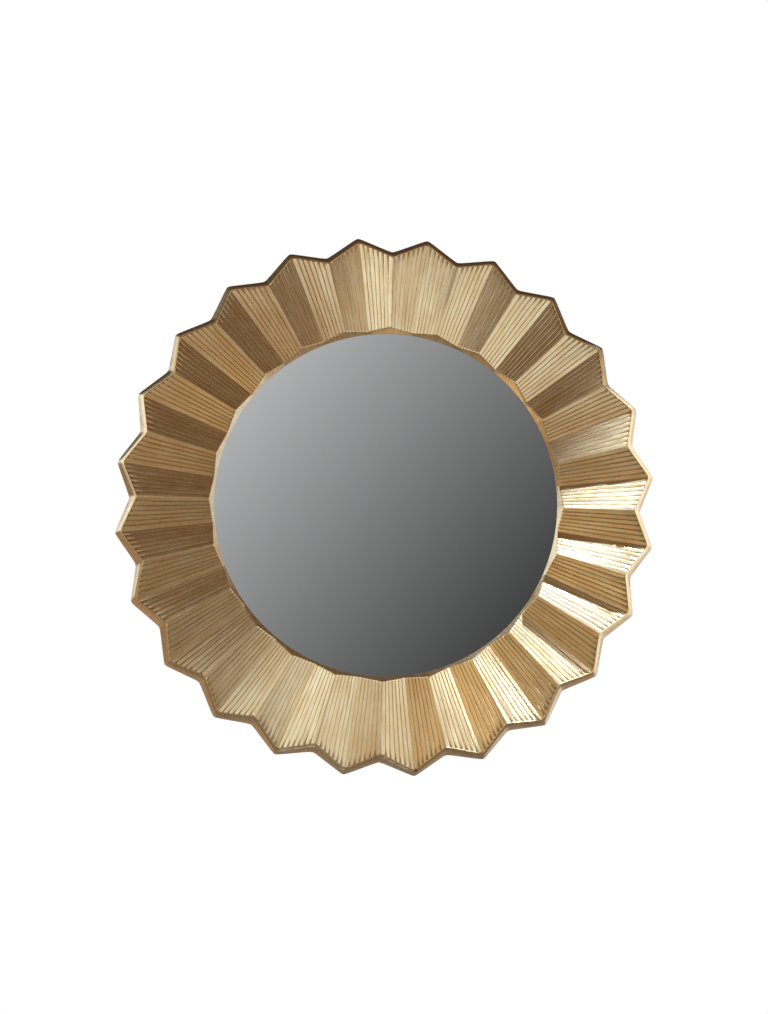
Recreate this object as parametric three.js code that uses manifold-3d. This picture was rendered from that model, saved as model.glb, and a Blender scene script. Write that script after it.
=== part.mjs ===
// Round wall mirror with a pleated sunburst frame: fluted facets, a raised zigzag rim and a looking glass
// seated behind the inner edge. Millimetres, +Z up. The glass faces -Y, the wall is the plane Y = 0 and
// the origin is the place that the mirror hangs from.
// Each piece is drawn lying on its back: X to the right, Y up the wall and Z out of the wall.

import * as THREE from "three";
import { mergeVertices } from "three/addons/utils/BufferGeometryUtils.js";
import Module from "manifold-3d";

const wasm = await Module();
wasm.setup();

// Overall form of the frame
const PLEATS = 24;
const FIRST_TIP_DEG = 9;
const TIP_RADIUS = 400;
const NOTCH_RADIUS = 377;
const SIDE_DRAFT = 0.24;

// Heights above the wall: each pleat rises from the low fold at its tip to the high fold at its notch
const RIDGE_HEIGHT = 39;
const LOW_FOLD_INNER_HEIGHT = 25;
const LOW_FOLD_OUTER_HEIGHT = 24;

// Inner edge of the pleats, and the round opening that shows the glass
const LOW_FOLD_INNER_RADIUS = 254.3;
const RIDGE_INNER_RADIUS = 257.8;
const OPENING_RADIUS = 251.5;
const OPENING_SIDES = 96;

// Flutes of one facet, in shares of the width of one strip
const STRIPS = 7;
const FLUTE_HALF_WIDTH = 0.13;
const FLUTE_DEPTH_OUTER = 1.1;
const FLUTE_DEPTH_INNER = 0.8;

// Rounded lip along the zigzag edge
const LIP_WIDTH = 4.2;
const LIP_RISE = 1;
const LIP_ROUND = 1.6;

// Glass, board and the rebate that holds them
const SEAT_GAP = 0.3;
const GLASS_THICKNESS = 4;
const GLASS_RADIUS = 263;
const BOARD_THICKNESS = 6;
const BOARD_RADIUS = 264;
const BOARD_RECESS = 7;
const REBATE_RADIUS = 265;
const REBATE_DEPTH = BOARD_RECESS + BOARD_THICKNESS + GLASS_THICKNESS + 2 * SEAT_GAP;

// Keyhole plate: a strip bent into a bridge, with a foot on each side
const HANG_HEIGHT = 225;
const PLATE_THICKNESS = 1.5;
const BRIDGE_HALF_WIDTH = 22;
const FOOT_HALF_SPAN = 34;
const PLATE_TOP = 7;
const PLATE_BOTTOM = -27;
const SLOT_RADIUS = 2.5;
const SLOT_TOP_CENTRE = -7;
const ENTRY_RADIUS = 5;
const ENTRY_CENTRE = -17;

// Screws of the plate
const SCREW_OFFSET = 28;
const SCREW_HEAD_RADIUS = 3.6;
const SCREW_HEAD_HEIGHT = 2.2;
const SCREW_SHANK_RADIUS = 1.6;
const SCREW_LENGTH = 7.4;
const SCREW_CLEARANCE = 0.4;

const facets = 2 * PLEATS;
const halfPleat = Math.PI / PLEATS;
const firstTip = THREE.MathUtils.degToRad(FIRST_TIP_DEG);

// Slant of the zigzag edge against the radius, at a tip and at a notch
const edgeRun = NOTCH_RADIUS * Math.sin(halfPleat);
const edgeFall = TIP_RADIUS - NOTCH_RADIUS * Math.cos(halfPleat);
const tipSlant = Math.atan2(edgeRun, edgeFall);
const notchSlant = tipSlant + halfPleat;

function pointAt(angle, radius, height) {
  return new THREE.Vector3(radius * Math.sin(angle), radius * Math.cos(angle), height);
}

// One ring of points round the frame. Each point knows which share of a full turn it lies at.
function addRing(points, ringPoints) {
  return ringPoints.map((point, index) => {
    points.push(point);
    return { index: points.length - 1, turn: index / ringPoints.length };
  });
}

// A round ring, which starts at the first tip as every other ring does.
function circle(radius, height) {
  const step = (2 * Math.PI) / OPENING_SIDES;
  return Array.from({ length: OPENING_SIDES }, (_, k) => pointAt(firstTip + k * step, radius, height));
}

// A zigzag ring, set in from the outline by a distance at right angles to its edges.
function zigzag(inset, tipHeight, notchHeight, tipInset = inset) {
  return Array.from({ length: facets }, (_, k) => {
    const angle = firstTip + k * halfPleat;
    if (k % 2 === 0) {
      return pointAt(angle, TIP_RADIUS - tipInset / Math.sin(tipSlant), tipHeight);
    }
    return pointAt(angle, NOTCH_RADIUS - inset / Math.sin(notchSlant), notchHeight);
  });
}

// A fluted ring: each facet runs straight from low fold to ridge, and its flutes are sunk between strips.
function fluted(lowFold, ridge, depth) {
  const ring = [];
  for (let k = 0; k < facets; k += 1) {
    const start = firstTip + k * halfPleat;
    const rising = k % 2 === 0;
    const from = rising ? lowFold : ridge;
    const to = rising ? ridge : lowFold;
    const a = pointAt(start, from.radius, from.height);
    const b = pointAt(start + halfPleat, to.radius, to.height);
    ring.push(a.clone());
    for (let strip = 1; strip < STRIPS; strip += 1) {
      const edges = [-FLUTE_HALF_WIDTH, 0, FLUTE_HALF_WIDTH];
      for (const offset of edges) {
        const point = a.clone().lerp(b, (strip + offset) / STRIPS);
        point.z -= offset === 0 ? depth : 0;
        ring.push(point);
      }
    }
  }
  return ring;
}

// Triangles between two rings, walking round both of them at once.
function stitch(faces, first, second) {
  let i = 0;
  let j = 0;
  const turnOf = (ring, k) => (k < ring.length ? ring[k].turn : 1);
  while (i < first.length || j < second.length) {
    const a = first[i % first.length].index;
    const b = second[j % second.length].index;
    const takeFirst = j >= second.length
      || (i < first.length && turnOf(first, i + 1) <= turnOf(second, j + 1));
    if (takeFirst) {
      i += 1;
      faces.push(a, b, first[i % first.length].index);
    } else {
      j += 1;
      faces.push(a, b, second[j % second.length].index);
    }
  }
}

function frameGeometry() {
  const sideInset = (height) => SIDE_DRAFT * height;
  const lowTop = LOW_FOLD_OUTER_HEIGHT + LIP_RISE;
  const ridgeTop = RIDGE_HEIGHT + LIP_RISE;
  const lip = (across, below) => zigzag(
    sideInset(ridgeTop) + across, lowTop - below, ridgeTop - below, sideInset(lowTop) + across,
  );
  const lipFoot = {
    low: {
      radius: TIP_RADIUS - (sideInset(lowTop) + LIP_WIDTH) / Math.sin(tipSlant),
      height: LOW_FOLD_OUTER_HEIGHT,
    },
    ridge: {
      radius: NOTCH_RADIUS - (sideInset(ridgeTop) + LIP_WIDTH) / Math.sin(notchSlant),
      height: RIDGE_HEIGHT,
    },
  };
  const innerEdge = {
    low: { radius: LOW_FOLD_INNER_RADIUS, height: LOW_FOLD_INNER_HEIGHT },
    ridge: { radius: RIDGE_INNER_RADIUS, height: RIDGE_HEIGHT },
  };

  const section = [
    circle(REBATE_RADIUS, 0),
    zigzag(0, 0, 0),
    lip(0, 1.6 * LIP_ROUND),
    lip(0.6 * LIP_ROUND, 0.6 * LIP_ROUND),
    lip(1.6 * LIP_ROUND, 0),
    lip(LIP_WIDTH - 0.3 * LIP_ROUND, 0),
    fluted(lipFoot.low, lipFoot.ridge, FLUTE_DEPTH_OUTER),
    fluted(innerEdge.low, innerEdge.ridge, FLUTE_DEPTH_INNER),
    circle(OPENING_RADIUS, REBATE_DEPTH + SEAT_GAP),
    circle(REBATE_RADIUS, REBATE_DEPTH + SEAT_GAP),
  ];

  const points = [];
  const faces = [];
  const rings = section.map((ringPoints) => addRing(points, ringPoints));
  rings.forEach((ring, k) => stitch(faces, ring, rings[(k + 1) % rings.length]));

  const geometry = new THREE.BufferGeometry().setFromPoints(points);
  geometry.setIndex(faces);
  geometry.computeVertexNormals();
  return geometry;
}

// A flat round disc standing on its edge in the drawing plane, from one height to the next.
function discGeometry(radius, bottom, thickness) {
  const geometry = new THREE.CylinderGeometry(radius, radius, thickness, OPENING_SIDES);
  geometry.rotateX(Math.PI / 2);
  geometry.translate(0, 0, bottom + thickness / 2);
  return geometry;
}

function solidOf(geometry) {
  const bare = geometry.index ? geometry.clone() : geometry;
  bare.deleteAttribute("normal");
  bare.deleteAttribute("uv");
  const merged = mergeVertices(bare, 1e-4);
  return new wasm.Manifold(new wasm.Mesh({
    numProp: 3,
    vertProperties: new Float32Array(merged.attributes.position.array),
    triVerts: new Uint32Array(merged.index.array),
  }));
}

function geometryOf(solid) {
  const mesh = solid.getMesh();
  const geometry = new THREE.BufferGeometry();
  geometry.setAttribute("position", new THREE.BufferAttribute(new Float32Array(mesh.vertProperties), 3));
  geometry.setIndex(new THREE.BufferAttribute(new Uint32Array(mesh.triVerts), 1));
  geometry.computeVertexNormals();
  return geometry;
}

// A round drill, along the line out of the wall.
function drill(x, y, radius, bottom, top) {
  const geometry = new THREE.CylinderGeometry(radius, radius, top - bottom, 24);
  geometry.rotateX(Math.PI / 2);
  geometry.translate(x, y, (bottom + top) / 2);
  return solidOf(geometry);
}

function boardGeometry() {
  const y = HANG_HEIGHT + (PLATE_TOP + PLATE_BOTTOM) / 2;
  let board = solidOf(discGeometry(BOARD_RADIUS, BOARD_RECESS, BOARD_THICKNESS));
  for (const side of [-1, 1]) {
    const reach = BOARD_RECESS + BOARD_THICKNESS - SEAT_GAP;
    const hole = drill(side * SCREW_OFFSET, y, SCREW_SHANK_RADIUS + SCREW_CLEARANCE, 0, reach);
    board = board.subtract(hole);
  }
  return geometryOf(board);
}

// The plate's end view: a bridge that touches the wall and a foot on each side that lies on the board.
function plateProfile() {
  const footTop = BOARD_RECESS - SEAT_GAP;
  const footBottom = footTop - PLATE_THICKNESS;
  const innerHalf = BRIDGE_HALF_WIDTH - PLATE_THICKNESS;
  return new THREE.Shape([
    new THREE.Vector2(-FOOT_HALF_SPAN, footBottom),
    new THREE.Vector2(-BRIDGE_HALF_WIDTH, footBottom),
    new THREE.Vector2(-BRIDGE_HALF_WIDTH, 0),
    new THREE.Vector2(BRIDGE_HALF_WIDTH, 0),
    new THREE.Vector2(BRIDGE_HALF_WIDTH, footBottom),
    new THREE.Vector2(FOOT_HALF_SPAN, footBottom),
    new THREE.Vector2(FOOT_HALF_SPAN, footTop),
    new THREE.Vector2(innerHalf, footTop),
    new THREE.Vector2(innerHalf, PLATE_THICKNESS),
    new THREE.Vector2(-innerHalf, PLATE_THICKNESS),
    new THREE.Vector2(-innerHalf, footTop),
    new THREE.Vector2(-FOOT_HALF_SPAN, footTop),
  ]);
}

// A keyhole: a round entry below, with a slot that runs up from it.
function keyholeShape() {
  const meet = Math.sqrt(ENTRY_RADIUS ** 2 - SLOT_RADIUS ** 2);
  const meetAngle = Math.atan2(meet, SLOT_RADIUS);
  const shape = new THREE.Shape();
  shape.moveTo(SLOT_RADIUS, ENTRY_CENTRE + meet);
  shape.lineTo(SLOT_RADIUS, SLOT_TOP_CENTRE);
  shape.absarc(0, SLOT_TOP_CENTRE, SLOT_RADIUS, 0, Math.PI, false);
  shape.lineTo(-SLOT_RADIUS, ENTRY_CENTRE + meet);
  shape.absarc(0, ENTRY_CENTRE, ENTRY_RADIUS, Math.PI - meetAngle, 2 * Math.PI + meetAngle, false);
  return shape;
}

function plateGeometry() {
  const plate = new THREE.ExtrudeGeometry(plateProfile(), {
    depth: PLATE_TOP - PLATE_BOTTOM,
    bevelEnabled: false,
  });
  plate.rotateX(Math.PI / 2);
  plate.translate(0, PLATE_TOP, 0);
  const keyhole = new THREE.ExtrudeGeometry(keyholeShape(), {
    depth: 3 * PLATE_THICKNESS,
    bevelEnabled: false,
    curveSegments: 12,
  });
  keyhole.translate(0, 0, -PLATE_THICKNESS);
  let solid = solidOf(plate).subtract(solidOf(keyhole));
  for (const side of [-1, 1]) {
    const y = (PLATE_TOP + PLATE_BOTTOM) / 2;
    solid = solid.subtract(
      drill(side * SCREW_OFFSET, y, SCREW_SHANK_RADIUS + SCREW_CLEARANCE, 0, BOARD_RECESS),
    );
  }
  const geometry = geometryOf(solid);
  geometry.translate(0, HANG_HEIGHT, 0);
  return geometry;
}

// A round-headed screw that stands on the plate's foot and points into the board.
function screwGeometry() {
  const profile = [
    new THREE.Vector2(0, -SCREW_HEAD_HEIGHT),
    new THREE.Vector2(0.55 * SCREW_HEAD_RADIUS, -0.92 * SCREW_HEAD_HEIGHT),
    new THREE.Vector2(0.9 * SCREW_HEAD_RADIUS, -0.55 * SCREW_HEAD_HEIGHT),
    new THREE.Vector2(SCREW_HEAD_RADIUS, 0),
    new THREE.Vector2(SCREW_SHANK_RADIUS, 0),
    new THREE.Vector2(SCREW_SHANK_RADIUS, SCREW_LENGTH - SCREW_SHANK_RADIUS),
    new THREE.Vector2(0, SCREW_LENGTH),
  ];
  const geometry = new THREE.LatheGeometry(profile, 20);
  geometry.rotateX(Math.PI / 2);
  const seat = BOARD_RECESS - 2 * SEAT_GAP - PLATE_THICKNESS;
  geometry.translate(0, HANG_HEIGHT + (PLATE_TOP + PLATE_BOTTOM) / 2, seat);
  return geometry;
}

const goldFinish = new THREE.MeshStandardMaterial({ color: 0xb08d57, roughness: 0.38, metalness: 0.9 });
const silvering = new THREE.MeshStandardMaterial({ color: 0xc8cacb, roughness: 0.04, metalness: 1 });
const fibreboard = new THREE.MeshStandardMaterial({ color: 0x8a6a48, roughness: 0.85, metalness: 0 });
const zincPlating = new THREE.MeshStandardMaterial({ color: 0xb9bcc0, roughness: 0.35, metalness: 1 });

function piece(name, geometry, material) {
  const mesh = new THREE.Mesh(geometry, material);
  mesh.name = name;
  return mesh;
}

const mirror = new THREE.Group();
mirror.add(piece("mirror_frame", frameGeometry(), goldFinish));
const glassBottom = BOARD_RECESS + BOARD_THICKNESS + SEAT_GAP;
mirror.add(piece("mirror_glass", discGeometry(GLASS_RADIUS, glassBottom, GLASS_THICKNESS), silvering));
mirror.add(piece("backing_board", boardGeometry(), fibreboard));
mirror.add(piece("hanger_plate", plateGeometry(), zincPlating));
for (const [side, offset] of [["left", -SCREW_OFFSET], ["right", SCREW_OFFSET]]) {
  const screw = piece(`hanger_screw_${side}`, screwGeometry(), zincPlating);
  screw.position.x = offset;
  mirror.add(screw);
}

// Stood up against the wall, with the hanging place at the origin
mirror.rotation.x = Math.PI / 2;
mirror.position.z = -HANG_HEIGHT;

export default mirror;
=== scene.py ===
import math
from typing import NamedTuple

import bmesh
import bpy
from bpy.props import FloatProperty, FloatVectorProperty, IntProperty, PointerProperty
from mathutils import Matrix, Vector, noise


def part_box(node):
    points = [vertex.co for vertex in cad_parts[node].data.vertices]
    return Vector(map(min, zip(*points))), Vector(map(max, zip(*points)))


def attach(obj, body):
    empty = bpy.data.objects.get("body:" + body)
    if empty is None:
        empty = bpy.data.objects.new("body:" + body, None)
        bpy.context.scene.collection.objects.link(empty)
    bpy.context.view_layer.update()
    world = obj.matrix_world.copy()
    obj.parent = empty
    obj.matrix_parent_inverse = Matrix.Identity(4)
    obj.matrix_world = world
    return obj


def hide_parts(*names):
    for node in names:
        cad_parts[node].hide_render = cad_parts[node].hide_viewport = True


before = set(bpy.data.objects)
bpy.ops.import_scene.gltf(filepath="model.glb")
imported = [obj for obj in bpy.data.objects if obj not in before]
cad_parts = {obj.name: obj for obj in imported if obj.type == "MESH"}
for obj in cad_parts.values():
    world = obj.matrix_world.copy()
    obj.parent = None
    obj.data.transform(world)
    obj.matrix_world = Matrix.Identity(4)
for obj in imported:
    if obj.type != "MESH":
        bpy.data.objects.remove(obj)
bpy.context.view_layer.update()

# A round wall mirror: a pleated and fluted frame under burnished gold leaf, its looking glass, and the
# board and the keyhole plate behind them. Metres, +Z up, the wall is the plane Y = 0, the glass faces -Y.

bl_info = {
    "name": "Pleated wall mirror",
    "version": (1, 0, 0),
    "blender": (4, 5, 0),
    "location": "3D View > Sidebar > Mirror",
    "description": "A round wall mirror in a pleated gold frame, with its stage",
    "category": "Add Mesh",
}

MM = 0.001
FRAME_LOW, FRAME_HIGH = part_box("mirror_frame")
GLASS_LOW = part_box("mirror_glass")[0]
CENTRE = Vector((0, 0, (FRAME_LOW.z + FRAME_HIGH.z) / 2))
DEPTH = FRAME_HIGH.y - FRAME_LOW.y

# The frame's plan: pleats, and the place of the first one clockwise from the top
PLEATS = 24
HALF_PLEAT = math.pi / PLEATS
FIRST_TIP = math.radians(9)
TOPMOST_TIP = math.radians(6)
TIP_RADIUS = (FRAME_HIGH.z - FRAME_LOW.z) / 2 / math.cos(TOPMOST_TIP)

# The ledge that the glass lies against, in height above the wall
LEDGE_HEIGHT = -GLASS_LOW.y + 0.3 * MM

# How far the folds are rounded, in shares of a facet: on the strips, and along the zigzag edge
FOLD_SOFTNESS = 0.012
OUTLINE_SOFTNESS = 0.055

# How far a flute reaches to each side, in shares of a strip
FLUTE_SPREAD = 0.115

# Radius that the arc length of the grain is measured at, midway along the pleats
GRAIN_RADIUS = (TIP_RADIUS + 255 * MM) / 2

# The small nick by the rim, near the bottom: clock angle, radius and height above the wall
NICK_CLOCK = 173.7
NICK_RADIUS = 388.5 * MM
NICK_HEIGHT = 24 * MM


def linear_rgb(code):
    """An sRGB hex colour as linear red, green and blue."""
    parts = [int(code[k:k + 2], 16) / 255 for k in (1, 3, 5)]
    return tuple(p / 12.92 if p <= 0.04045 else ((p + 0.055) / 1.055) ** 2.4 for p in parts)


def length_setting(name, description, default):
    return FloatProperty(
        name=name, description=description, default=default, subtype="DISTANCE", unit="LENGTH"
    )


def colour_setting(name, description, code):
    return FloatVectorProperty(
        name=name, description=description, default=linear_rgb(code), subtype="COLOR", size=3
    )


class PleatedFrameSizes(bpy.types.PropertyGroup):
    """Sizes of the pleated frame that a maker would change."""

    notch_radius: length_setting("Notch radius", "Outline radius between two tips", 376.0 * MM)
    side_draft: FloatProperty(name="Side draft", description="Lean of the side wall", default=0.24)
    strips: IntProperty(name="Strips", description="Flat strips on one facet", default=7)
    low_inner_height: length_setting("Low fold inside", "Height of the low fold at the glass", 25 * MM)
    low_outer_height: length_setting("Low fold outside", "Height of the low fold at its tip", 24 * MM)
    low_inner_radius: length_setting("Low inner radius", "Inner end of the low folds", 254.3 * MM)
    ridge_inner_radius: length_setting("Ridge inner radius", "Inner end of the ridges", 257.8 * MM)
    opening_radius: length_setting("Opening radius", "Round opening that shows the glass", 251.5 * MM)
    rebate_radius: length_setting("Rebate radius", "Round seat of glass and board", 265 * MM)
    flute_depth: length_setting("Flute depth", "Depth of the cut between two strips", 0.65 * MM)
    strip_crown: length_setting("Strip crown", "Rise of a strip's middle over its edges", 0.1 * MM)
    lip_width: length_setting("Lip width", "Width of the raised rim", 4.2 * MM)
    lip_rise: length_setting("Lip rise", "Rise of the rim over the strips", 1 * MM)
    wander: length_setting("Wander", "Unevenness left by the hand-carved pattern", 0.3 * MM)
    strip_roll: length_setting("Strip roll", "Most that one edge of a strip lies over the other", 0.8 * MM)


class MirrorFinishes(bpy.types.PropertyGroup):
    """Colours of the finishes."""

    leaf_bright: colour_setting("Bright leaf", "Burnished champagne leaf", "#F7DDA8")
    leaf_deep: colour_setting("Deep leaf", "Thin, rubbed leaf over its warm ground", "#E7BE80")
    # Painted shade: this dark colour is laid into the flutes in place of the shade that falls in them
    flute_shade: colour_setting("Glaze", "Dark wax left in the flutes", "#6B4A2A")
    nick: colour_setting("Nick", "Dark ground that a nick has bared", "#3A2413")
    cast_back: colour_setting("Cast back", "Painted back of the casting", "#4A3622")
    silver: colour_setting("Silvering", "Silver behind the glass", "#F2F3F4")
    hardboard: colour_setting("Hardboard", "Pressed brown fibre", "#8A6544")
    zinc: colour_setting("Zinc", "Bright zinc plating", "#C3C6C8")
    floor: colour_setting("Floor", "Pale studio floor", "#E8E6E2")


class StageSettings(bpy.types.PropertyGroup):
    """Camera, light and floor."""

    camera_distance: length_setting("Camera distance", "From the wall plane to the camera", 2.6)
    camera_left: FloatProperty(
        name="Camera left", description="How far left of square the camera stands",
        default=math.radians(2.2), subtype="ANGLE", unit="ROTATION",
    )
    camera_below: FloatProperty(
        name="Camera below", description="How far below square the camera stands",
        default=math.radians(3.6), subtype="ANGLE", unit="ROTATION",
    )
    view_height: length_setting("View height", "Height of wall that the picture takes in", 1.4948)
    aim_left: length_setting("Aim left", "Aim left of the mirror's centre", 2.7 * MM)
    aim_below: length_setting("Aim below", "Aim below the mirror's centre", 2.9 * MM)
    studio_light: FloatProperty(name="Studio light", description="Soft light all round", default=1.0)
    fill_power: FloatProperty(name="Fill light", description="Soft lamps, each a share of it", default=8.0)
    key_power: FloatProperty(name="Key light", description="Raking light, upper right", default=2300.0)
    back_power: FloatProperty(name="Back light", description="Soft lamp behind the mirror", default=95.0)
    hanging_height: length_setting("Hanging height", "From the floor to the mirror's centre", 1.5)


# Small helpers for meshes and node trees

def object_from(bm, name, materials):
    """A finished bmesh as an object at the origin."""
    mesh = bpy.data.meshes.new(name)
    bm.to_mesh(mesh)
    bm.free()
    for material in materials:
        mesh.materials.append(material)
    piece = bpy.data.objects.new(name, mesh)
    bpy.context.scene.collection.objects.link(piece)
    return piece


def add_node(tree, kind, inputs=None, **settings):
    """A node with its settings, its plain input values and the sockets that feed it."""
    node = tree.nodes.new(kind)
    for name, value in settings.items():
        setattr(node, name, value)
    for socket, source in (inputs or {}).items():
        if isinstance(source, bpy.types.NodeSocket):
            tree.links.new(source, node.inputs[socket])
        else:
            node.inputs[socket].default_value = source
    return node


def new_material(name):
    """An empty node material with its output, as (material, tree, output)."""
    material = bpy.data.materials.new(name)
    material.use_nodes = True
    tree = material.node_tree
    tree.nodes.clear()
    return material, tree, add_node(tree, "ShaderNodeOutputMaterial")


def rgba(colour):
    return (*colour, 1.0)


def polar_place(tree):
    """Sockets that give the arc length round the mirror, the distance from its centre, and the height."""
    place = add_node(tree, "ShaderNodeTexCoord")
    local = add_node(
        tree, "ShaderNodeVectorMath", {0: place.outputs["Object"], 1: CENTRE}, operation="SUBTRACT"
    )
    parts = add_node(tree, "ShaderNodeSeparateXYZ", {0: local.outputs[0]})
    angle = add_node(
        tree, "ShaderNodeMath", {0: parts.outputs["X"], 1: parts.outputs["Z"]}, operation="ARCTAN2"
    )
    arc = add_node(
        tree, "ShaderNodeMath", {0: angle.outputs[0], 1: GRAIN_RADIUS}, operation="MULTIPLY"
    )
    flat = add_node(tree, "ShaderNodeCombineXYZ", {"X": parts.outputs["X"], "Z": parts.outputs["Z"]})
    radius = add_node(tree, "ShaderNodeVectorMath", {0: flat.outputs[0]}, operation="LENGTH")
    return arc.outputs[0], radius.outputs["Value"], parts.outputs["Y"]


def radial_grain(tree, place, across, along, detail=3.0):
    """Noise drawn out along the radius, with grains of a given width and length."""
    arc, radius, height = place
    stretched = add_node(tree, "ShaderNodeCombineXYZ", {
        "X": add_node(tree, "ShaderNodeMath", {0: arc, 1: across}, operation="DIVIDE").outputs[0],
        "Y": add_node(tree, "ShaderNodeMath", {0: radius, 1: along}, operation="DIVIDE").outputs[0],
        "Z": add_node(tree, "ShaderNodeMath", {0: height, 1: along}, operation="DIVIDE").outputs[0],
    })
    grain = add_node(
        tree, "ShaderNodeTexNoise",
        {"Vector": stretched.outputs[0], "Scale": 1.0, "Detail": detail, "Roughness": 0.55},
    )
    return grain.outputs["Fac"]


def ramp(tree, source, low, high, bottom=0.0, top=1.0):
    """A value brought from one range to another and held inside it."""
    node = add_node(tree, "ShaderNodeMapRange", {
        "Value": source, "From Min": low, "From Max": high, "To Min": bottom, "To Max": top,
    })
    return node.outputs[0]


def mix_colour(tree, share, first, second):
    node = add_node(
        tree, "ShaderNodeMix", {"Factor": share, 6: first, 7: second}, data_type="RGBA"
    )
    return node.outputs[2]


# Materials

def gold_leaf(finishes):
    """Burnished gold leaf on a cast ground: brushed along the pleats, with painted shade darkening the
    flutes.

    It gives the eye a warm, soft-edged metal shine that breaks up in streaks."""
    material, tree, output = new_material("burnished_gold_leaf")
    place = polar_place(tree)
    # Brush marks are under a millimetre wide; they are drawn at about 2 mm so that the picture shows them
    streaks = radial_grain(tree, place, 2.2 * MM, 45 * MM)
    hairlines = radial_grain(tree, place, 0.9 * MM, 18 * MM)
    patches = radial_grain(tree, place, 14 * MM, 40 * MM, 2.0)
    flute = add_node(tree, "ShaderNodeAttribute", attribute_name="flute").outputs["Fac"]

    thin_leaf = add_node(
        tree, "ShaderNodeMath", {0: streaks, 1: patches}, operation="MULTIPLY"
    ).outputs[0]
    leaf = mix_colour(
        tree, ramp(tree, thin_leaf, 0.08, 0.40), rgba(finishes.leaf_deep), rgba(finishes.leaf_bright)
    )
    # Painted shade: the deeper a place lies in a flute, the more of the dark flute colour it gets
    leaf_and_flute_shade = mix_colour(tree, ramp(tree, flute, 0.1, 1.0, 0.0, 0.6), leaf, rgba(finishes.flute_shade))
    # One small nick by the rim near the bottom shows the dark ground under the leaf
    from_nick = add_node(tree, "ShaderNodeVectorMath", {
        0: add_node(tree, "ShaderNodeTexCoord").outputs["Object"],
        1: round_the_frame(NICK_CLOCK, NICK_RADIUS) - Vector((0, NICK_HEIGHT, 0)),
    }, operation="DISTANCE").outputs["Value"]
    nick = ramp(tree, from_nick, 1.2 * MM, 2.4 * MM, 1.0, 0.0)
    leaf_and_flute_shade = mix_colour(tree, nick, leaf_and_flute_shade, rgba(finishes.nick))
    roughness = ramp(tree, hairlines, 0.3, 0.7, 0.25, 0.37)
    # A little less than full metal: the thin film of wax over the leaf scatters some golden light
    waxed_metal = 0.88
    bump = add_node(tree, "ShaderNodeBump", {
        "Strength": 0.4, "Distance": 0.06 * MM, "Height": hairlines,
    })
    shader = add_node(tree, "ShaderNodeBsdfPrincipled", {
        "Base Color": leaf_and_flute_shade, "Metallic": waxed_metal, "Roughness": roughness, "Normal": bump.outputs[0],
    })
    tree.links.new(shader.outputs[0], output.inputs["Surface"])
    return material


def cast_back(finishes):
    """The casting's unseen back: brushed over with dark paint, matte and slightly pitted."""
    material, tree, output = new_material("painted_casting")
    place = add_node(tree, "ShaderNodeTexCoord").outputs["Object"]
    grit = add_node(tree, "ShaderNodeTexNoise", {"Vector": place, "Scale": 1 / (3 * MM), "Detail": 4.0})
    cloud = add_node(tree, "ShaderNodeTexNoise", {"Vector": place, "Scale": 1 / (60 * MM), "Detail": 3.0})
    lighter = tuple(min(1.0, 1.6 * c) for c in finishes.cast_back)
    colour = mix_colour(
        tree, ramp(tree, cloud.outputs["Fac"], 0.35, 0.65), rgba(finishes.cast_back), rgba(lighter)
    )
    bump = add_node(tree, "ShaderNodeBump", {
        "Strength": 0.5, "Distance": 0.3 * MM, "Height": grit.outputs["Fac"],
    })
    shader = add_node(tree, "ShaderNodeBsdfPrincipled", {
        "Base Color": colour, "Roughness": ramp(tree, grit.outputs["Fac"], 0.3, 0.7, 0.6, 0.85),
        "Normal": bump.outputs[0],
    })
    tree.links.new(shader.outputs[0], output.inputs["Surface"])
    return material


def silvered_glass(finishes):
    """Float glass silvered on its back: a clean reflection with the faintest unevenness."""
    material, tree, output = new_material("silvered_float_glass")
    place = add_node(tree, "ShaderNodeTexCoord").outputs["Object"]
    wipe = add_node(tree, "ShaderNodeTexNoise", {"Vector": place, "Scale": 1 / (90 * MM), "Detail": 2.0})
    shader = add_node(tree, "ShaderNodeBsdfPrincipled", {
        "Base Color": rgba(finishes.silver), "Metallic": 1.0,
        "Roughness": ramp(tree, wipe.outputs["Fac"], 0.3, 0.7, 0.012, 0.03),
    })
    tree.links.new(shader.outputs[0], output.inputs["Surface"])
    return material


def hardboard(finishes):
    """Pressed hardboard: matted brown fibres, dull all over."""
    material, tree, output = new_material("pressed_hardboard")
    place = add_node(tree, "ShaderNodeTexCoord").outputs["Object"]
    fibres = add_node(tree, "ShaderNodeTexNoise", {
        "Vector": place, "Scale": 1 / (2.5 * MM), "Detail": 5.0, "Roughness": 0.7, "Distortion": 1.5,
    })
    cloud = add_node(tree, "ShaderNodeTexNoise", {"Vector": place, "Scale": 1 / (45 * MM), "Detail": 2.0})
    darker = tuple(0.62 * c for c in finishes.hardboard)
    shade = add_node(tree, "ShaderNodeMath", {
        0: fibres.outputs["Fac"], 1: cloud.outputs["Fac"],
    }, operation="MULTIPLY").outputs[0]
    colour = mix_colour(tree, ramp(tree, shade, 0.15, 0.35), rgba(darker), rgba(finishes.hardboard))
    bump = add_node(tree, "ShaderNodeBump", {
        "Strength": 0.4, "Distance": 0.2 * MM, "Height": fibres.outputs["Fac"],
    })
    shader = add_node(tree, "ShaderNodeBsdfPrincipled", {
        "Base Color": colour, "Roughness": ramp(tree, fibres.outputs["Fac"], 0.3, 0.7, 0.75, 0.9),
        "Normal": bump.outputs[0],
    })
    tree.links.new(shader.outputs[0], output.inputs["Surface"])
    return material


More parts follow.
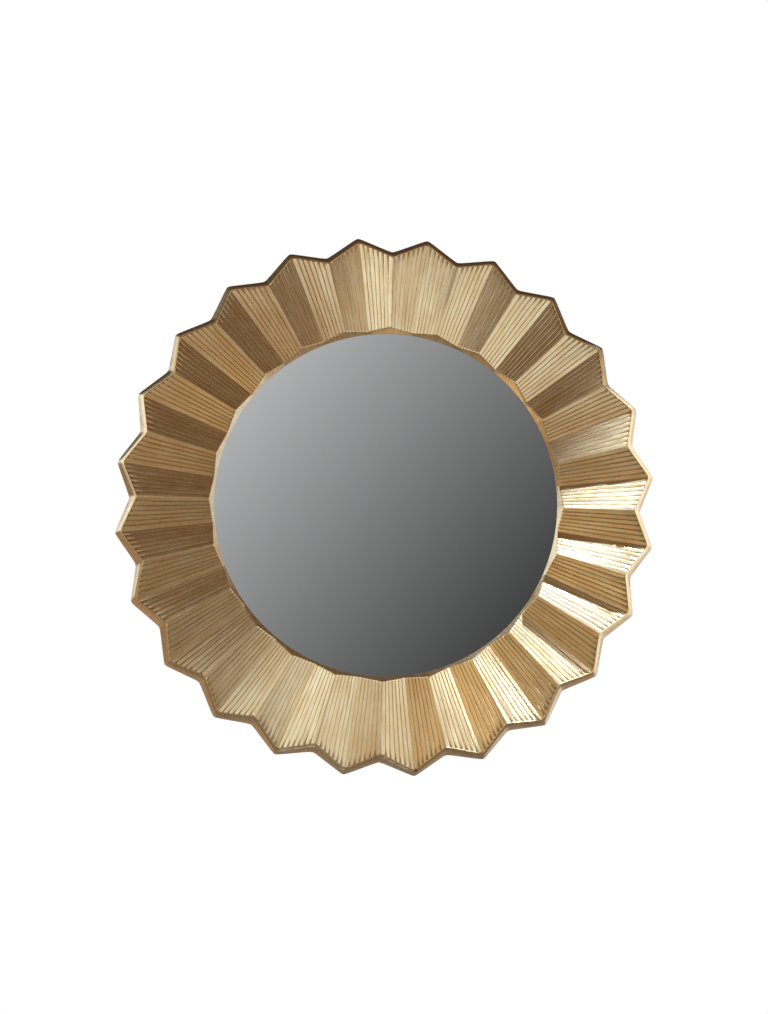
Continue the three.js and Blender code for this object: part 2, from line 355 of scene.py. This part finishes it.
def zinc_plate(finishes):
    """Bright zinc on pressed steel: a cool shine with fine cloudy crystals."""
    material, tree, output = new_material("zinc_plated_steel")
    place = add_node(tree, "ShaderNodeTexCoord").outputs["Object"]
    crystals = add_node(tree, "ShaderNodeTexVoronoi", {"Vector": place, "Scale": 1 / (2 * MM)})
    handling = add_node(tree, "ShaderNodeTexNoise", {"Vector": place, "Scale": 1 / (8 * MM), "Detail": 3.0})
    dull = tuple(0.75 * c for c in finishes.zinc)
    colour = mix_colour(
        tree, ramp(tree, handling.outputs["Fac"], 0.35, 0.7), rgba(finishes.zinc), rgba(dull)
    )
    shader = add_node(tree, "ShaderNodeBsdfPrincipled", {
        "Base Color": colour, "Metallic": 1.0,
        "Roughness": ramp(tree, crystals.outputs["Distance"], 0.0, 0.8, 0.46, 0.62),
    })
    tree.links.new(shader.outputs[0], output.inputs["Surface"])
    return material


# The pleated frame

class Ring(NamedTuple):
    """One ring of the frame: its radius and height at the low folds and at the ridges.

    A roundness of 0 gives straight sides between folds and 1 a true circle. Softness rounds the folds.
    Flute is how much of the flutes' depth is cut there, and spread how far a flute reaches to each side
    in shares of a strip."""

    low_radius: float
    ridge_radius: float
    low_height: float
    ridge_height: float
    roundness: float = 0.0
    softness: float = FOLD_SOFTNESS
    flute: float = 0.0
    spread: float = FLUTE_SPREAD


def between(first, second, share):
    return Ring(*(a + (b - a) * share for a, b in zip(first, second)))


def round_ring(radius, height):
    return Ring(radius, radius, height, height, 1.0)


def edge_slants(sizes):
    """Slant of the zigzag edge against the radius, at a tip and at a notch."""
    run = sizes.notch_radius * math.sin(HALF_PLEAT)
    fall = TIP_RADIUS - sizes.notch_radius * math.cos(HALF_PLEAT)
    tip = math.atan2(run, fall)
    return tip, tip + HALF_PLEAT


def zigzag_ring(sizes, low_inset, ridge_inset, low_height, ridge_height):
    """A ring parallel to the outline, set in by distances at right angles to its edges."""
    tip_slant, notch_slant = edge_slants(sizes)
    return Ring(
        TIP_RADIUS - low_inset / math.sin(tip_slant),
        sizes.notch_radius - ridge_inset / math.sin(notch_slant),
        low_height, ridge_height, 0.0, OUTLINE_SOFTNESS,
    )


def side_and_lip_rings(sizes):
    """From the back's outer edge up the leaning side wall and over the raised lip to its foot."""
    low_top = sizes.low_outer_height + sizes.lip_rise
    ridge_top = DEPTH
    # Across and down from the foot of the outer slope to its crest, in shares of the slope's width
    slope = ((0.0, 1.0), (0.06, 0.88), (0.2, 0.74), (0.55, 0.42), (0.85, 0.13), (1.0, 0.02))
    slope_width = 3.7 * MM
    foot_width = 0.5 * MM
    inner_round = 0.2 * MM
    back_round = 0.7 * MM

    def lip(across, below):
        low = low_top - below
        ridge = ridge_top - below
        return zigzag_ring(
            sizes, sizes.side_draft * low_top + across, sizes.side_draft * ridge_top + across, low, ridge
        )

    rings = []
    for step in range(3):
        turn = math.radians(45 * step)
        inset = back_round * (1 - math.sin(turn))
        rings.append(zigzag_ring(
            sizes, inset, inset, back_round * (1 - math.cos(turn)), back_round * (1 - math.cos(turn))
        ))
    shoulder = lip(0, slope_width)
    rings.append(between(rings[-1], shoulder, 0.5))
    # The rim slopes outward from its crest, with its edges rubbed soft
    for across, below in slope:
        rings.append(lip(slope_width * across, slope_width * below))
    for step in range(3):
        turn = math.radians(45 * step)
        rings.append(lip(
            sizes.lip_width - inner_round * (1 - math.sin(turn)), inner_round * (1 - math.cos(turn))
        ))
    rings.append(lip(sizes.lip_width + foot_width, sizes.lip_rise))
    return rings


def pleat_rings(sizes, foot):
    """From the foot of the lip along the fluted strips, over the inner edge and down to the glass."""
    foot = foot._replace(softness=FOLD_SOFTNESS)
    edge = Ring(
        sizes.low_inner_radius, sizes.ridge_inner_radius,
        sizes.low_inner_height, DEPTH - sizes.lip_rise, flute=1.0,
    )
    opening = round_ring(sizes.opening_radius, LEDGE_HEIGHT + 0.4 * MM)
    rings = []
    # The flutes widen towards the lip, which leaves the strips with tapered ends
    widening = ((0.0, 0.32), (0.018, 0.25), (0.04, 0.16), (0.065, 0.125), (0.09, FLUTE_SPREAD))
    for share, spread in widening:
        rings.append(between(foot, edge, share)._replace(flute=1.0, spread=spread))
    for share in (0.2, 0.4, 0.6, 0.8, 0.98):
        rings.append(between(foot, edge, share)._replace(flute=1.0))
    before = between(foot, edge, 0.993)._replace(flute=1.0)
    after = between(edge, opening, 0.07)._replace(flute=0.5)
    rounded = between(between(before, after, 0.5), edge, 0.6)._replace(flute=0.9)
    rings += [before, rounded, after]
    rings.append(between(edge, opening, 0.2)._replace(flute=0.0))
    rings.append(between(edge, opening, 0.6)._replace(flute=0.0))
    rings.append(opening)
    rings.append(round_ring(sizes.opening_radius + 0.3 * MM, LEDGE_HEIGHT))
    rings.append(round_ring(sizes.rebate_radius, LEDGE_HEIGHT))
    return rings


def facet_columns(sizes):
    """Places across one pleat, from -1 at a ridge over 0 at the low fold to 1 at the next ridge."""
    inside_strip = (0.0, 0.065, 0.12, 0.24, 0.5, 0.76, 0.88, 0.935)
    rising = [(strip + place) / sizes.strips for strip in range(sizes.strips) for place in inside_strip]
    rising.append(1.0)
    return [-share for share in reversed(rising[1:])] + rising


def flute_profile(sizes, share, spread):
    """Depth of the V cut at a place on a facet, 1 at its bottom. The folds themselves are not cut."""
    strip = share * sizes.strips
    nearest = round(strip)
    if nearest in (0, sizes.strips):
        return 0.0
    return max(0.0, 1 - abs(strip - nearest) / spread)


def softened(share, softness):
    """The share of a facet with both its folds rounded."""
    low = math.hypot(share, softness) - share
    high = math.hypot(1 - share, softness) - (1 - share)
    return share + low - high


def frame_point(sizes, ring, place):
    """A point of the frame, and how deep in a flute it lies."""
    share = abs(place)
    across = share * ring.ridge_radius * math.sin(HALF_PLEAT)
    out = ring.low_radius + share * (ring.ridge_radius * math.cos(HALF_PLEAT) - ring.low_radius)
    angle = math.atan2(across, out)
    soft = softened(share, ring.softness)
    soft_across = soft * ring.ridge_radius * math.sin(HALF_PLEAT)
    soft_out = ring.low_radius + soft * (ring.ridge_radius * math.cos(HALF_PLEAT) - ring.low_radius)
    straight = math.hypot(soft_across, soft_out)
    circle = ring.low_radius + soft * (ring.ridge_radius - ring.low_radius)
    radius = straight + (circle - straight) * ring.roundness
    height = ring.low_height + soft * (ring.ridge_height - ring.low_height)
    cut = flute_profile(sizes, share, ring.spread) * ring.flute
    crown = 4 * (share * sizes.strips % 1.0) * (1 - share * sizes.strips % 1.0)
    height += sizes.strip_crown * (crown - 1) * ring.flute - sizes.flute_depth * cut
    turn = FIRST_TIP + math.copysign(angle, place)
    return CENTRE + Vector((radius * math.sin(turn), -height, radius * math.cos(turn))), cut


def strip_tilt(sizes, outward):
    """How far a place lies proud of its strip's middle, because each strip was cut at its own slant."""
    turn = (math.atan2(outward.x, outward.z) - FIRST_TIP) / HALF_PLEAT
    facet = math.floor(turn)
    across = (turn - facet) * sizes.strips
    strip = math.floor(across)
    slant = noise.noise(Vector((0.73 * strip + 5.19 * facet, outward.length / (70 * MM), 0.5)))
    return slant * sizes.strip_roll * (across - strip - 0.5)


def wandered(sizes, point, cut):
    """The unevenness of a hand-carved pattern: low swells along each pleat, and flutes that waver."""
    long_swell, short_swell, waver_length = 55 * MM, 17 * MM, 30 * MM
    swell = noise.noise(point / long_swell) + 0.5 * noise.noise(point / short_swell)
    waver = noise.noise(point / waver_length + Vector((7, 3, 5)))
    outward = point - CENTRE
    outward.y = 0
    along = outward.normalized().cross(Vector((0, 1, 0)))
    depth = sizes.wander * (0.5 * swell + 0.5)
    if cut < 0.9:
        depth += 0.25 * sizes.strip_roll + strip_tilt(sizes, outward)
    return point + Vector((0, depth, 0)) + along * sizes.wander * waver * (1 + cut)


def lies_behind(sizes, point):
    """Whether a point is on the back or in the seat of the glass, which have no leaf."""
    height = -point.y
    radius = math.hypot(point.x - CENTRE.x, point.z - CENTRE.z)
    in_seat = height < LEDGE_HEIGHT + 0.01 * MM and radius < sizes.rebate_radius + 0.1 * MM
    return height < 0.01 * MM or in_seat


def build_pleated_frame(sizes):
    """One pleat is shaped from a grid, turned round the mirror's axis and closed."""
    side = side_and_lip_rings(sizes)
    back = round_ring(sizes.rebate_radius, 0)
    front = pleat_rings(sizes, side[-1])
    rings = [back, *side, *front, back]
    columns = facet_columns(sizes)
    bm = bmesh.new()
    bmesh.ops.create_grid(bm, x_segments=len(columns) - 1, y_segments=len(rings) - 1, size=1.0)
    flute = bm.verts.layers.float.new("flute")
    worked = bm.verts.layers.float.new("worked")
    for vert in bm.verts:
        column = round((vert.co.x + 1) / 2 * (len(columns) - 1))
        row = round((vert.co.y + 1) / 2 * (len(rings) - 1))
        vert.co, vert[flute] = frame_point(sizes, rings[row], columns[column])
        vert[worked] = float(rings[row].flute > 0)
    for face in bm.faces:
        face.material_index = 1 if all(lies_behind(sizes, vert.co) for vert in face.verts) else 0
        face.smooth = True
    bmesh.ops.spin(
        bm, geom=bm.verts[:] + bm.edges[:] + bm.faces[:], cent=CENTRE, axis=(0, 1, 0),
        angle=2 * math.pi * (PLEATS - 1) / PLEATS, steps=PLEATS - 1, use_duplicate=True,
    )
    bmesh.ops.remove_doubles(bm, verts=bm.verts[:], dist=0.02 * MM)
    bmesh.ops.recalc_face_normals(bm, faces=bm.faces[:])
    for vert in bm.verts:
        if vert[worked]:
            vert.co = wandered(sizes, vert.co, vert[flute])
    if any(not edge.is_manifold for edge in bm.edges):
        raise RuntimeError("the pleated frame is not closed")
    return bm


class MIRROR_OT_add_pleated_frame(bpy.types.Operator):
    """Model the pleated frame and cover it with gold leaf"""

    bl_idname = "mirror.add_pleated_frame"
    bl_label = "Pleated frame"

    def execute(self, context):
        finishes = context.scene.mirror_finishes
        bm = build_pleated_frame(context.scene.mirror_frame_sizes)
        piece = object_from(bm, "pleated_frame", [gold_leaf(finishes), cast_back(finishes)])
        # Edges that turn by more than this stay sharp
        sharp_turn = math.radians(38)
        piece.data.set_sharp_from_angle(angle=sharp_turn)
        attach(piece, "root")
        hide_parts("mirror_frame")
        return {"FINISHED"}


class MIRROR_OT_finish_glass_and_board(bpy.types.Operator):
    """Silver the looking glass and finish the hardboard behind it"""

    bl_idname = "mirror.finish_glass_and_board"
    bl_label = "Glass and board"

    def execute(self, context):
        finishes = context.scene.mirror_finishes
        finish = {"mirror_glass": silvered_glass(finishes), "backing_board": hardboard(finishes)}
        for node, material in finish.items():
            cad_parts[node].material_slots[0].material = material
        return {"FINISHED"}


class MIRROR_OT_finish_hanger(bpy.types.Operator):
    """Finish the keyhole plate and its screws in bright zinc"""

    bl_idname = "mirror.finish_hanger"
    bl_label = "Keyhole hanger"

    def execute(self, context):
        material = zinc_plate(context.scene.mirror_finishes)
        for node in ("hanger_plate", "hanger_screw_left", "hanger_screw_right"):
            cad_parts[node].material_slots[0].material = material
        return {"FINISHED"}


# Stage

def round_the_frame(clock, radius):
    """A place on the frame's front, at a clock angle and a distance from the mirror's centre."""
    return CENTRE + radius * Vector((math.sin(math.radians(clock)), 0, math.cos(math.radians(clock))))


def add_spotlight(name, aim, clock, rise, distance, power, beam, blend, size, colour=(1, 1, 1)):
    """A spotlight that comes from a clock angle, at an angle of rise from the plane of the wall.

    Its angles are in degrees, its distance and size in metres and its power in watts."""
    clock, rise = math.radians(clock), math.radians(rise)
    lamp = bpy.data.lights.new(name, "SPOT")
    lamp.energy = power
    lamp.color = colour
    lamp.shadow_soft_size = size
    lamp.spot_size = math.radians(beam)
    lamp.spot_blend = blend
    light = bpy.data.objects.new(name, lamp)
    light.location = aim + distance * Vector((
        math.cos(rise) * math.sin(clock), -math.sin(rise), math.cos(rise) * math.cos(clock),
    ))
    light.rotation_euler = (aim - light.location).to_track_quat("-Z", "Y").to_euler()
    bpy.context.scene.collection.objects.link(light)


def light_studio_world(world, stage, opening_radius):
    """White to the camera. To the pieces it is a soft studio, graded in front of the glass.

    Pale walls stand left and right, little light comes from above, and a dim, warm light from below."""
    world.use_nodes = True
    tree = world.node_tree
    tree.nodes.clear()
    direction = add_node(tree, "ShaderNodeTexCoord").outputs["Generated"]
    flat = add_node(tree, "ShaderNodeVectorMath", {
        0: direction, 1: Vector((1, 0, 1)),
    }, operation="MULTIPLY").outputs[0]
    clock = add_node(tree, "ShaderNodeVectorMath", {0: flat}, operation="NORMALIZE").outputs[0]

    def towards(hour, full, none):
        """How much a direction lies near one clock angle: 1 within the first angle, 0 beyond the second."""
        turn = math.radians(hour)
        facing = add_node(tree, "ShaderNodeVectorMath", {
            0: clock, 1: Vector((math.sin(turn), 0, math.cos(turn))),
        }, operation="DOT_PRODUCT").outputs["Value"]
        return ramp(tree, facing, math.cos(math.radians(none)), math.cos(math.radians(full)))

    behind = add_node(
        tree, "ShaderNodeVectorMath", {0: direction, 1: Vector((0, 1, 0))}, operation="DOT_PRODUCT"
    ).outputs["Value"]
    # Brightness of the room by direction
    ceiling = ramp(tree, behind, -0.4, 0.2, 0.125, 0.036)
    ground = add_node(tree, "ShaderNodeMix", {
        "Factor": towards(184, 50, 112), 2: ceiling, 3: 0.40,
    }, data_type="FLOAT").outputs[0]
    right_wall = ramp(tree, towards(97, 24, 40), 0.0, 1.0, 0.0, 0.71)
    left_wall = ramp(tree, towards(288, 9, 19), 0.0, 1.0, 0.0, 1.22)
    walls = add_node(tree, "ShaderNodeMath", {0: right_wall, 1: left_wall}, operation="ADD").outputs[0]
    # The walls are dimmer towards the back of the room behind the mirror
    level = add_node(tree, "ShaderNodeMath", {
        0: walls, 1: ramp(tree, behind, 0.72, 0.96, 1.0, 0.35), 2: ground,
    }, operation="MULTIPLY_ADD").outputs[0]
    # The dimmer the room, the warmer its light
    dim, middling, bright_wall = (1.0, 0.58, 0.33), (1.0, 0.83, 0.70), (0.98, 1.17, 1.5)
    warmth = mix_colour(tree, ramp(tree, level, 0.15, 0.5), rgba(dim), rgba(middling))
    warmth = mix_colour(tree, ramp(tree, level, 0.5, 1.05), warmth, rgba(bright_wall))
    # What comes from below is yellower still
    warmth = mix_colour(tree, towards(188, 20, 60), warmth, add_node(
        tree, "ShaderNodeVectorMath", {0: warmth, 1: Vector((1.06, 0.98, 0.78))}, operation="MULTIPLY"
    ).outputs[0])
    room = add_node(tree, "ShaderNodeVectorMath", {0: warmth, 1: level}, operation="MULTIPLY")
    room = add_node(tree, "ShaderNodeVectorMath", {
        0: room.outputs[0], "Scale": stage.studio_light,
    }, operation="SCALE").outputs[0]

    # The grading runs from light at the upper left to dark at the lower right, in the small patch of
    # the room that the glass shows
    patch_middle = Vector((math.sin(stage.camera_left), 0.0, math.sin(stage.camera_below)))
    patch_reach = opening_radius / stage.camera_distance
    slope = Vector((-0.78, 0.0, 0.625)) / patch_reach
    offset = add_node(
        tree, "ShaderNodeVectorMath", {0: direction, 1: patch_middle}, operation="SUBTRACT"
    ).outputs[0]
    graded = add_node(tree, "ShaderNodeVectorMath", {0: offset, 1: slope}, operation="DOT_PRODUCT")
    tone = ramp(tree, graded.outputs["Value"], -1.3, 1.3, 0.22, 0.79)
    bright = add_node(tree, "ShaderNodeMath", {0: tone, 1: 2.2}, operation="POWER").outputs[0]

    ahead = add_node(
        tree, "ShaderNodeVectorMath", {0: direction, 1: Vector((0, -1, 0))}, operation="DOT_PRODUCT"
    ).outputs["Value"]
    in_patch = ramp(tree, ahead, math.cos(math.radians(30)), math.cos(math.radians(17)))
    studio = mix_colour(tree, in_patch, room, bright)
    to_camera = add_node(tree, "ShaderNodeLightPath").outputs["Is Camera Ray"]
    seen = mix_colour(tree, to_camera, studio, (1.0, 1.0, 1.0, 1.0))
    background = add_node(tree, "ShaderNodeBackground", {"Color": seen, "Strength": 1.0})
    output = add_node(tree, "ShaderNodeOutputWorld")
    tree.links.new(background.outputs[0], output.inputs["Surface"])


class MIRROR_OT_set_stage(bpy.types.Operator):
    """Set up the camera, the soft lights and the pale floor"""

    bl_idname = "mirror.set_stage"
    bl_label = "Stage"

    def execute(self, context):
        stage = context.scene.mirror_stage
        self.add_camera(context.scene, stage)
        self.add_floor(stage, context.scene.mirror_finishes)
        self.add_lamps(stage)
        world = bpy.data.worlds.new("studio")
        context.scene.world = world
        light_studio_world(world, stage, context.scene.mirror_frame_sizes.opening_radius)
        context.scene.view_settings.view_transform = "Standard"
        return {"FINISHED"}

    def add_lamps(self, stage):
        # The key skims over the pleats at the right, and the fill lifts those at the lower right
        add_spotlight(
            "raking_key", aim=round_the_frame(114, 0.36), clock=26, rise=11.5, distance=3.0,
            power=stage.key_power, beam=6.8, blend=0.7, size=0.06, colour=(0.8, 1.0, 1.4),
        )
        add_spotlight(
            "lower_fill", aim=round_the_frame(143, 0.34), clock=68, rise=45, distance=1.6,
            power=stage.fill_power, beam=15, blend=0.8, size=0.12, colour=(0.85, 1.05, 1.5),
        )
        # Two golden lamps stand for the light that the bright pleats throw on their neighbours
        add_spotlight(
            "right_bounce", aim=round_the_frame(106, 0.34), clock=184, rise=50, distance=1.6,
            power=0.8 * stage.fill_power, beam=23, blend=0.8, size=0.4, colour=(1.0, 0.80, 0.45),
        )
        add_spotlight(
            "lower_bounce", aim=round_the_frame(142, 0.34), clock=238, rise=50, distance=1.6,
            power=stage.fill_power, beam=30, blend=0.8, size=0.5, colour=(1.0, 0.84, 0.48),
        )
        # This one stands straight behind the mirror and shows its back in the views from there
        add_spotlight(
            "back_light", aim=CENTRE, clock=0, rise=-90, distance=2.5,
            power=stage.back_power, beam=30, blend=0.5, size=0.5,
        )

    def add_camera(self, scene, stage):
        lens = bpy.data.cameras.new("camera")
        lens.lens = lens.sensor_width * stage.camera_distance / stage.view_height
        camera = bpy.data.objects.new("camera", lens)
        left, below = stage.camera_left, stage.camera_below
        back = Vector((
            -math.sin(left) * math.cos(below), -math.cos(left) * math.cos(below), -math.sin(below),
        ))
        aim = CENTRE - Vector((stage.aim_left, 0, stage.aim_below))
        camera.location = aim + stage.camera_distance * back
        camera.rotation_euler = (-back).to_track_quat("-Z", "Y").to_euler()
        scene.collection.objects.link(camera)
        scene.camera = camera

    def add_floor(self, stage, finishes):
        bm = bmesh.new()
        floor_radius = 2.2
        bmesh.ops.create_circle(bm, cap_ends=True, segments=64, radius=floor_radius)
        bmesh.ops.translate(bm, verts=bm.verts[:], vec=(0, 0, CENTRE.z - stage.hanging_height))
        material, tree, output = new_material("pale_floor")
        # The camera sees an even tone, without the pool of light that the lamps throw on the floor
        seen = add_node(tree, "ShaderNodeLightPath").outputs["Is Camera Ray"]
        shader = add_node(tree, "ShaderNodeBsdfPrincipled", {
            "Base Color": mix_colour(tree, seen, rgba(finishes.floor), (0.0, 0.0, 0.0, 1.0)),
            "Roughness": 0.7, "Specular IOR Level": 0.0,
            "Emission Color": rgba(finishes.floor), "Emission Strength": ramp(tree, seen, 0, 1, 0.0, 0.85),
        })
        tree.links.new(shader.outputs[0], output.inputs["Surface"])
        object_from(bm, "floor", [material])


class VIEW3D_PT_pleated_mirror(bpy.types.Panel):
    """The mirror's pieces and their settings"""

    bl_label = "Pleated wall mirror"
    bl_space_type = "VIEW_3D"
    bl_region_type = "UI"
    bl_category = "Mirror"

    def draw(self, context):
        layout = self.layout
        for operator in OPERATORS:
            layout.operator(operator.bl_idname)
        for group in (
            context.scene.mirror_frame_sizes, context.scene.mirror_finishes, context.scene.mirror_stage,
        ):
            box = layout.box()
            for name in group.__annotations__:
                box.prop(group, name)


OPERATORS = (
    MIRROR_OT_set_stage, MIRROR_OT_add_pleated_frame, MIRROR_OT_finish_glass_and_board,
    MIRROR_OT_finish_hanger,
)
GROUPS = {
    "mirror_frame_sizes": PleatedFrameSizes,
    "mirror_finishes": MirrorFinishes,
    "mirror_stage": StageSettings,
}


def register():
    for cls in (*GROUPS.values(), *OPERATORS, VIEW3D_PT_pleated_mirror):
        bpy.utils.register_class(cls)
    for name, group in GROUPS.items():
        setattr(bpy.types.Scene, name, PointerProperty(type=group))


def unregister():
    for name in GROUPS:
        delattr(bpy.types.Scene, name)
    for cls in reversed((*GROUPS.values(), *OPERATORS, VIEW3D_PT_pleated_mirror)):
        bpy.utils.unregister_class(cls)


def main():
    register()
    bpy.ops.mirror.set_stage()
    bpy.ops.mirror.add_pleated_frame()
    bpy.ops.mirror.finish_glass_and_board()
    bpy.ops.mirror.finish_hanger()


if __name__ == "__main__":
    main()
